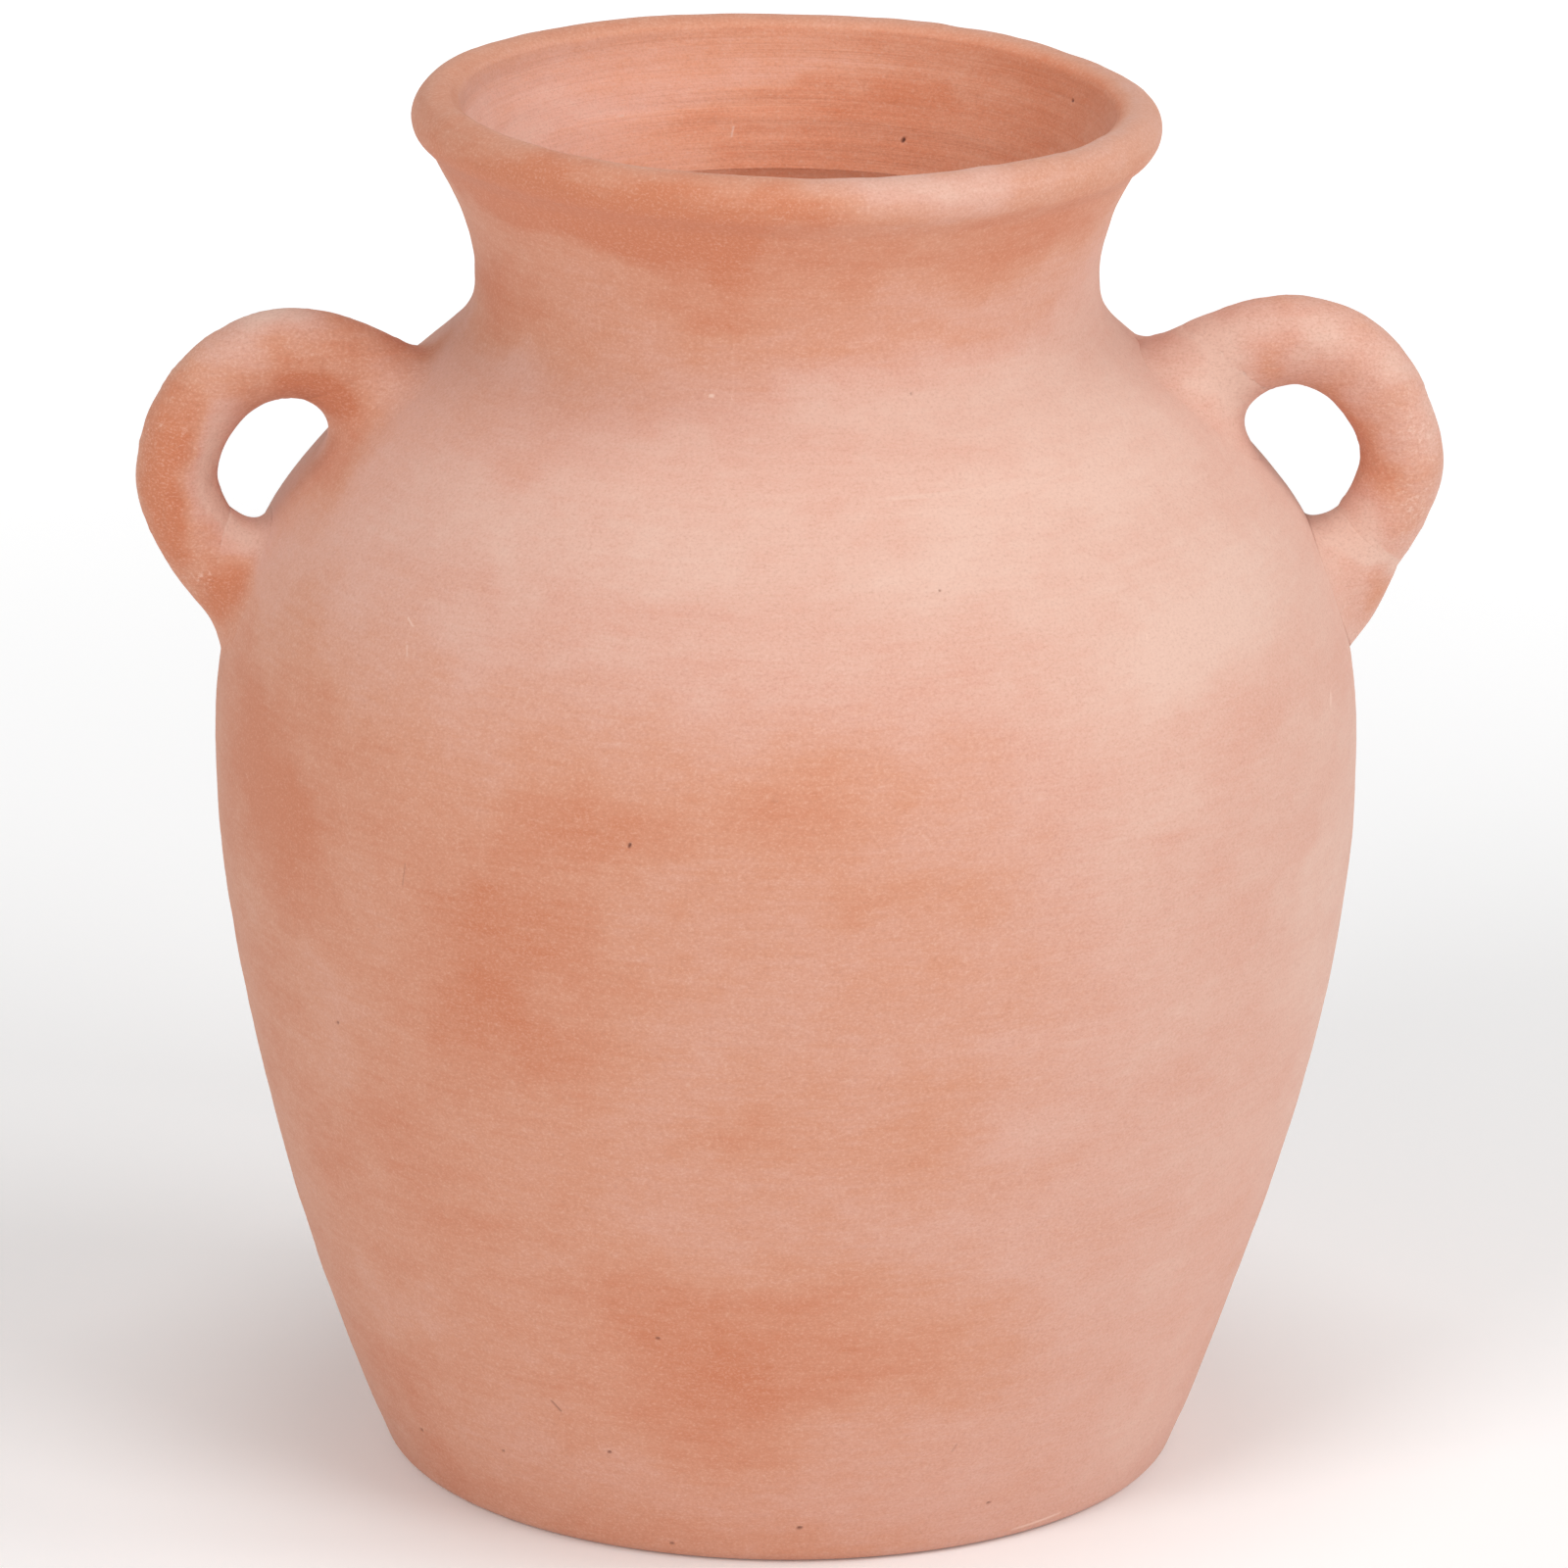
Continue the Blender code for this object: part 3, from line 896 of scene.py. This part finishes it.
COLLAR_FLAWS = [
    (-107, 262, 0.7, 0, 0.8, -0.10, -0.9),
    (-103.5, 261.5, 0.3, 0, 0.6, -0.06, -0.6),
    (-72, 262, 0.0, 0, 0.6, 0.20, 0.6),
    (80, 285, 0.4, 0, 0.8, 0.30, 0.8),
]
INSIDE_FLAWS = [
    (61.8, 287.6, 0.5, 60, 1.0, 0.45, 1.0),
    (22, 305, 0.3, 0, 0.8, 0.35, 1.0),
    (97, 288, 2.2, 75, 0.6, -0.05, -0.6),
    (120, 293, 0.8, 0, 0.6, -0.05, -0.5),
]

# Cloudy patches on the handles, and painted light on the left one marked below: hand, way along
# the strand (mm), turn round it (degrees, 0 is the side away from the wall, -90 the front), radius
# (mm) and strength.
HANDLE_PATCHES = [
    ("left", 6, -20, 8, 1.00),
    # this one and the next two paler on the left handle's front: painted light
    ("left", 32, -25, 10, -1.10),
    ("left", 39, -58, 8, -0.70),
    ("left", 24, -70, 7, -0.40),
    ("left", 20, -132, 6, 0.95),
    ("left", 30, -105, 7, 0.40),
    ("left", 40, -110, 7, 0.40),
    ("left", 55, -25, 9, 0.50),
    ("left", 66, -50, 9, 0.70),
    ("left", 78, -58, 10, 0.80),
    ("left", 96, -75, 8, 0.80),
    # these three paler on the left handle's side that faces the jar: painted light
    ("left", 56, -140, 8, -0.90),
    ("left", 70, -142, 9, -1.10),
    ("left", 84, -138, 8, -0.85),
    ("right", 8, -75, 7, -0.30),
    ("right", 23, -78, 7, 0.42),
    ("right", 16, -38, 11, -0.70),
    ("right", 34, -42, 10, -0.65),
    ("right", 50, -45, 9, -0.50),
    ("right", 66, -50, 8, -0.35),
    ("right", 76, -70, 7, 0.28),
    ("right", 84, -75, 5, 0.20),
    ("right", 99, -52, 6, 0.65),
    ("right", 8, -115, 8, -0.50),
    ("right", 95, -135, 7, -0.75),
    ("right", 50, -158, 7, 0.85),
    ("right", 64, -158, 7, 0.60),
    ("right", 78, -158, 7, 0.60),
    # the back
    ("left", 40, 80, 9, 0.35),
    ("left", 76, 110, 9, -0.30),
    ("right", 30, 100, 8, 0.30),
    ("right", 70, 70, 9, -0.30),
]

# Rubbed places on the handles, where more of the pale scuffs show: as above, strength up to 1.
HANDLE_SCUFFS = [
    ("right", 54, -58, 8, 0.6),
    ("right", 66, -62, 9, 0.8),
    ("right", 78, -66, 8, 0.8),
    ("right", 88, -60, 5, 0.7),
    ("left", 94, -70, 5, 0.8),
    ("left", 30, -60, 7, 0.4),
]


# A patch fades out between these distances from its middle, in its half widths.
CLOUD_FADE = (0.1, 1.5)
SCUFF_FADE = (0.3, 1.3)


def on_wall(angle, height):
    """The place on the outside of the jar at this angle (degrees) and height (mm)."""
    turn, height = math.radians(angle), height * MM
    radius = float(wall_radius(height))
    return np.array([radius * math.cos(turn), radius * math.sin(turn), height])


def flaws_at(flaws, sunk=0.0):
    """The flaws with a place instead of an angle and height, this deep behind the outside."""
    placed = []
    for angle, height, *rest in flaws:
        outside = on_wall(angle, height)
        inner = outside * (1 - sunk / np.hypot(outside[0], outside[1]) * np.array([1.0, 1.0, 0.0]))
        placed.append((tuple(hand_thrown(inner)), *rest))
    return placed


def on_strand(hand, way, turn):
    """The place on a handle's skin at this way (mm) and turn (degrees)."""
    strand = STRANDS[hand]
    return strand.place(strand.smooth_skin(np.array(way * MM), np.array(math.radians(turn))))


# Broad tones: in the middle, and what the +X side adds to it and the -X side takes off. The side
# share is partly painted light and shade: outside, paler on the lit +X side and deeper on the
# shaded -X side; inside, the other way round.
BELLY_TONE = (0.31, -0.32)
# the paler shoulder is partly painted light, where it faces up to the lamps
SHOULDER_TONE = (-0.12, -0.12)
# the deeper neck and lip underside are partly painted shade under the rim
NECK_TONE = (0.36, -0.24)  # on top of the shoulder's
UNDER_LIP_SHADE_TONE = (0.24, 0.0)  # on top of the neck's
# inside, deeper on the +X wall as painted shade and paler on the -X wall as painted light that
# falls in through the mouth
INSIDE_TONE = (0.45, 0.70)
LOOP_TONE = (0.20, -0.26)
# Heights between which one tone goes over into the next.
BELLY_TO_SHOULDER = (0.190, 0.216)
SHOULDER_TO_NECK = (0.254, 0.276)
NECK_TO_LIP = (0.278, 0.292)
LOOPS_BELOW = 0.275


def zone_tone(points, z):
    """The broad tones, partly painted light and shade: a pale shoulder where the light falls, an
    orange neck and inside, deeper in the shade under the rim, and the -X side deeper outside
    while inside the shaded +X wall is deeper.
    """
    side = np.clip(points[..., 0] / 0.12, -1, 1)

    def level(tones):
        return tones[0] + tones[1] * side

    belly = 1 - smoothstep(z, *BELLY_TO_SHOULDER)
    tone = belly * level(BELLY_TONE) + (1 - belly) * level(SHOULDER_TONE)
    tone += smoothstep(z, *SHOULDER_TO_NECK) * level(NECK_TONE)
    tone += smoothstep(z, *NECK_TO_LIP) * level(UNDER_LIP_SHADE_TONE)
    tone += inside_share(points) * (level(INSIDE_TONE) - tone)
    clear = -depth_in_wall(points)
    loop = smoothstep(clear, 2 * MM, 16 * MM) * (points[..., 2] < LOOPS_BELOW)
    return tone + loop * (level(LOOP_TONE) - tone)


def from_strand(points, hand, way, turn, radius):
    """Distance from a place on a handle, as a share of this radius (mm)."""
    return np.linalg.norm(points - on_strand(hand, way, turn), axis=-1) / (radius * MM)


def firing_and_painted_light_tone(points):
    """The clay's tone at each point: 0 is the common pink, 1 deep orange, below 0 pale.

    Besides the clay's own clouds it holds painted light and shade.
    """
    drift = np.stack([noise(points, 0.020, seed) + 0.5 * noise(points, 0.009, seed + 3)
                      for seed in (81, 82, 83)], -1)
    drifted = points + 0.006 * drift
    flat = np.array([1.0, 1.0, 1.8])  # clouds lie flat, as the wheel drew them
    tone = zone_tone(points, drifted[..., 2])
    tone += 0.12 * noise(points * flat, 0.075, 91) + 0.13 * noise(drifted * flat, 0.030, 92)
    tone += 0.07 * noise(drifted * np.array([1.0, 1.0, 8.0]), 0.055, 95)
    tone += 0.08 * noise(drifted * flat, 0.013, 93) + 0.08 * noise(points * flat, 0.0062, 94)
    for angle, height, width, rise, strength in WALL_PATCHES:
        size = np.array([width, width, rise]) * MM
        distance = np.linalg.norm((drifted - on_wall(angle, height)) / size, axis=-1)
        tone += strength * (1 - smoothstep(distance, *CLOUD_FADE))
    for *spot, strength in HANDLE_PATCHES:
        tone += strength * (1 - smoothstep(from_strand(drifted, *spot), *CLOUD_FADE))
    return tone


def scuffed_share(points):
    """How rubbed the handle is at each point, 0 to 1."""
    share = np.zeros(points.shape[:-1])
    for *spot, strength in HANDLE_SCUFFS:
        scuffed = 1 - smoothstep(from_strand(points, *spot), *SCUFF_FADE)
        share = np.maximum(share, strength * scuffed)
    return share


def inside_share(points):
    """1 on the inside of the wall, 0 on the outside."""
    ring = np.hypot(points[..., 0], points[..., 1])
    return smoothstep(wall_radius(points[..., 2]) - ring, 3 * MM, 7 * MM)


def paint(piece):
    """Keeps the tone, the inside and the scuffed places with the mesh for the material."""
    mesh = piece.data
    flat = np.empty(len(mesh.vertices) * 3)
    mesh.vertices.foreach_get("co", flat)
    points = flat.reshape(-1, 3)
    keep(piece, "tone", firing_and_painted_light_tone(points))
    keep(piece, "inside", inside_share(points))
    keep(piece, "scuffed", scuffed_share(points))


TONES = (-0.6, 1.0)  # from the palest to the deepest colour
CLAY_COLOURS = [  # share of the way between those, and colour
    (0.000, (0.755, 0.490, 0.395, 1.0)),
    (0.375, (0.705, 0.378, 0.288, 1.0)),
    (0.700, (0.662, 0.298, 0.187, 1.0)),
    (1.000, (0.606, 0.208, 0.104, 1.0)),
]
PALE_GRAIN = (0.86, 0.60, 0.49, 1.0)
DARK_GRAIN = (0.40, 0.15, 0.09, 1.0)
# painted shade at the bottom of a pit
PIT_SHADE = (0.16, 0.055, 0.035, 1.0)
INSIDE_PAINTED_LIGHT = 0.24  # painted light: the inside's colour is made brighter, for light that falls in through the mouth
ROUGHNESS = (0.95, 0.86)  # of the palest and the deepest clay

# The clay's finest marks: bumps per metre along X, Y and Z.
FLECKS = (260.0, 260.0, 620.0)
STREAKS = (40.0, 40.0, 800.0)
INSIDE_RINGS = (9.0, 9.0, 1100.0)
TOOTH = (1400.0, 1400.0, 2000.0)
SCRATCHES = (420.0, 900.0, 700.0)
LUMPS = 420.0
RUBBED_AREAS = 60.0
# How much they change the tone, and how high they stand.
FLECKS_TONE, STREAKS_TONE, RINGS_TONE, WIPED_AND_HIGHLIGHT_TONE = 0.42, 0.34, 0.36, -0.9
TOOTH_HEIGHT, STREAKS_HEIGHT = 0.055 * MM, 0.050 * MM
RINGS_HEIGHT, LUMPS_HEIGHT = 0.140 * MM, 0.080 * MM


def fired_clay(name, tone_shift=0.0, grain=1.0, relief=1.0, mottle=1.0, scuffs=0.0):
    """Unglazed terracotta: cloudy pink to orange, with painted light and shade in its tone and
    painted shade in its pits; fine pale and dark grains, dull and dusty.
    """
    material = bpy.data.materials.new(name)
    nodes = Nodes(material)
    place = nodes.add("ShaderNodeTexCoord", output=3)
    painted, inside, wiped_and_highlit = (nodes.kept(layer) for layer in ("tone", "inside", "wiped_and_highlit"))

    flecks = nodes.stretched_noise(place, FLECKS, 0.6)
    streaks = nodes.stretched_noise(place, STREAKS, 0.6)
    rings = nodes.times(nodes.stretched_noise(place, INSIDE_RINGS, 0.6), inside)
    # the pale strips: rubbed clay at the seam and the lutings' edges, painted light over the
    # pressed ledge's step, and a painted highlight along the front of the lip's inner edge
    tone = nodes.total(painted, nodes.times(flecks, FLECKS_TONE * mottle),
                       nodes.times(streaks, STREAKS_TONE), nodes.times(rings, RINGS_TONE),
                       nodes.times(wiped_and_highlit, WIPED_AND_HIGHLIGHT_TONE))
    tone = nodes.remap(tone, *TONES, shape="LINEAR")
    tone = nodes.math("ADD", tone, tone_shift)
    ramp = nodes.new("ShaderNodeValToRGB", {"Fac": tone})
    while len(ramp.color_ramp.elements) < len(CLAY_COLOURS):
        ramp.color_ramp.elements.new(0.5)
    for element, (position, colour) in zip(ramp.color_ramp.elements, CLAY_COLOURS):
        element.position = position
        element.color = colour
    # painted light inside the mouth: the inside's colour is made brighter
    painted_inside_light = nodes.math("ADD", nodes.times(inside, INSIDE_PAINTED_LIGHT), 1.0)
    colour = nodes.new("ShaderNodeVectorMath", {0: ramp.outputs["Color"], "Scale": painted_inside_light},
                       operation="SCALE").outputs[0]

    # pale grog, dark specks, and the finer tooth of the clay
    tooth = nodes.stretched_noise(place, TOOTH, 0.7)
    dark = nodes.remap(tooth, -0.26, -0.02, 0.26 * grain, 0.0, "LINEAR")
    pale = nodes.remap(tooth, 0.02, 0.26, 0.0, 0.30 * grain, "LINEAR")
    colour = nodes.mix(pale, nodes.mix(dark, colour, DARK_GRAIN), PALE_GRAIN)
    if scuffs:
        rubbed = nodes.kept("scuffed")
        scratch = nodes.total(nodes.stretched_noise(place, SCRATCHES, 0.7, detail=3.0),
                              nodes.times(rubbed, 0.10))
        scratch = nodes.remap(scratch, 0.10, 0.24)
        area = nodes.remap(nodes.noise(place, RUBBED_AREAS, 1.0), 0.02, 0.18, 0.0, scuffs)
        where = nodes.math("MAXIMUM", area, nodes.times(rubbed, 0.60))
        colour = nodes.mix(nodes.times(scratch, where), colour, PALE_GRAIN)

    # pits are painted dark, the shade in them; scratches pale
    flaw = nodes.kept("flaw")
    colour = nodes.mix(nodes.times(flaw, 1.0, clamp=True), colour, PIT_SHADE)
    colour = nodes.mix(nodes.times(flaw, -1.0, clamp=True), colour, PALE_GRAIN)

    # relief too fine for the mesh: tooth, lumps and brushed lines
    lumps = nodes.noise(place, LUMPS, 2.0, 0.55)
    height = nodes.total(nodes.times(tooth, TOOTH_HEIGHT * relief),
                         nodes.times(streaks, STREAKS_HEIGHT * relief),
                         nodes.times(rings, RINGS_HEIGHT),
                         nodes.times(lumps, LUMPS_HEIGHT * relief))
    normal = nodes.add("ShaderNodeBump", {"Strength": 1.0, "Distance": 1.0, "Height": height})

    shader = nodes.new("ShaderNodeBsdfPrincipled", {
        "Base Color": colour, "Normal": normal,
        "Roughness": nodes.remap(tone, 0.0, 1.0, *ROUGHNESS, "LINEAR"),
        "Specular IOR Level": 0.35, "Sheen Weight": 0.18, "Sheen Roughness": 0.6,
        "Sheen Tint": (1.0, 0.90, 0.84, 1.0),
    })
    nodes.new("ShaderNodeOutputMaterial", {"Surface": shader.outputs[0]})
    return material


# ---------------------------------------------------------------- stage, light, camera

def floor():
    """A pale floor that glows a little more with distance, so that it fades into the white."""
    bpy.ops.mesh.primitive_plane_add(size=FLOOR_SIZE, location=(0.0, 0.0, 0.0))
    ground = bpy.context.object
    ground.name = "floor"
    material = bpy.data.materials.new("pale_floor")
    nodes = Nodes(material)
    place = nodes.add("ShaderNodeTexCoord", output=3)
    away = nodes.add("ShaderNodeVectorMath", {0: place}, operation="LENGTH", output=1)
    shader = nodes.new("ShaderNodeBsdfPrincipled", {
        "Base Color": (FLOOR_GREY, FLOOR_GREY, FLOOR_GREY, 1.0), "Roughness": 0.9,
        "Specular IOR Level": 0.2, "Emission Color": (1.0, 1.0, 1.0, 1.0),
        "Emission Strength": nodes.remap(away, *FLOOR_GLOW_FROM, *FLOOR_GLOW),
    })
    nodes.new("ShaderNodeOutputMaterial", {"Surface": shader.outputs[0]})
    ground.data.materials.append(material)


def soft_light(name, turn, rise, power):
    """A large round lamp, aimed at the jar: turn and rise are in degrees, power in watts."""
    data = bpy.data.lights.new(name, "AREA")
    data.shape = "DISK"
    data.size = LAMP_SIZE
    data.energy = power
    lamp = bpy.data.objects.new(name, data)
    bpy.context.scene.collection.objects.link(lamp)
    turn, rise = math.radians(turn), math.radians(rise)
    level = LAMP_DISTANCE * math.cos(rise)
    away = Vector((level * math.sin(turn), -level * math.cos(turn), LAMP_DISTANCE * math.sin(rise)))
    lamp.location = Vector((0.0, 0.0, LAMP_AIM_HEIGHT)) + away
    lamp.rotation_euler = away.to_track_quat("Z", "Y").to_euler()


def studio():
    """A white room with the large soft lamps in it."""
    world = bpy.data.worlds.new("white_studio")
    bpy.context.scene.world = world
    world.use_nodes = True
    background = world.node_tree.nodes["Background"]
    background.inputs["Color"].default_value = (1.0, 1.0, 1.0, 1.0)
    background.inputs["Strength"].default_value = ROOM_LIGHT
    for lamp in LAMPS:
        soft_light(*lamp)
    bpy.context.scene.view_settings.view_transform = "Standard"


def camera():
    data = bpy.data.cameras.new("view")
    data.lens = VIEW_LENS
    data.sensor_width = VIEW_SENSOR
    data.shift_x, data.shift_y = VIEW_SHIFT
    data.clip_end = VIEW_REACH
    level = VIEW_DISTANCE * Vector((-math.sin(VIEW_YAW), -math.cos(VIEW_YAW), 0.0))
    eye = level + Vector((0.0, 0.0, VIEW_HEIGHT))
    ahead = (Vector((0.0, 0.0, VIEW_AIM_HEIGHT)) - eye).normalized()
    right = ahead.cross(Vector((0.0, 0.0, 1.0))).normalized()
    up = right.cross(ahead)
    rolled_right = math.cos(VIEW_ROLL) * right + math.sin(VIEW_ROLL) * up
    rolled_up = math.cos(VIEW_ROLL) * up - math.sin(VIEW_ROLL) * right
    turn = Matrix((rolled_right, rolled_up, -ahead)).transposed()
    viewer = bpy.data.objects.new("view", data)
    viewer.matrix_world = Matrix.Translation(eye) @ turn.to_4x4()
    bpy.context.scene.collection.objects.link(viewer)
    bpy.context.scene.camera = viewer


# ---------------------------------------------------------------- assembly

def place(piece, node, slot, material):
    """Colours a piece, hangs it under the root and hides the CAD node it stands for."""
    piece.data.materials.append(material)
    paint(piece)
    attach(piece, "root")
    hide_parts(node)


def main():
    camera()
    body, collar = body_piece(), collar_piece()
    add_flaws(body, flaws_at(BODY_FLAWS))
    add_flaws(collar, flaws_at(COLLAR_FLAWS) + flaws_at(INSIDE_FLAWS, WALL_THICKNESS))
    place(body, "thrown_body", "body_clay", fired_clay("thrown_clay"))
    place(collar, "collar", "collar_clay", fired_clay("collar_clay"))
    rolled = fired_clay("rolled_clay", 0.01, grain=1.3, relief=1.4, mottle=1.15, scuffs=0.45)
    smeared = fired_clay("smeared_clay", 0.0, grain=1.2, relief=1.4)
    for hand, strand in STRANDS.items():
        handle = handle_piece(f"{hand}_rolled_handle", strand)
        place(handle, f"{hand}_handle", "handle_clay", rolled)
        for end in ("upper", "lower"):
            reach = np.array(LUTING_REACH[hand, end]) * MM
            smear = luting_piece(f"{hand}_{end}_smear", strand, end, reach)
            place(smear, f"{hand}_{end}_luting", "luting_clay", smeared)
    floor()
    studio()


main()
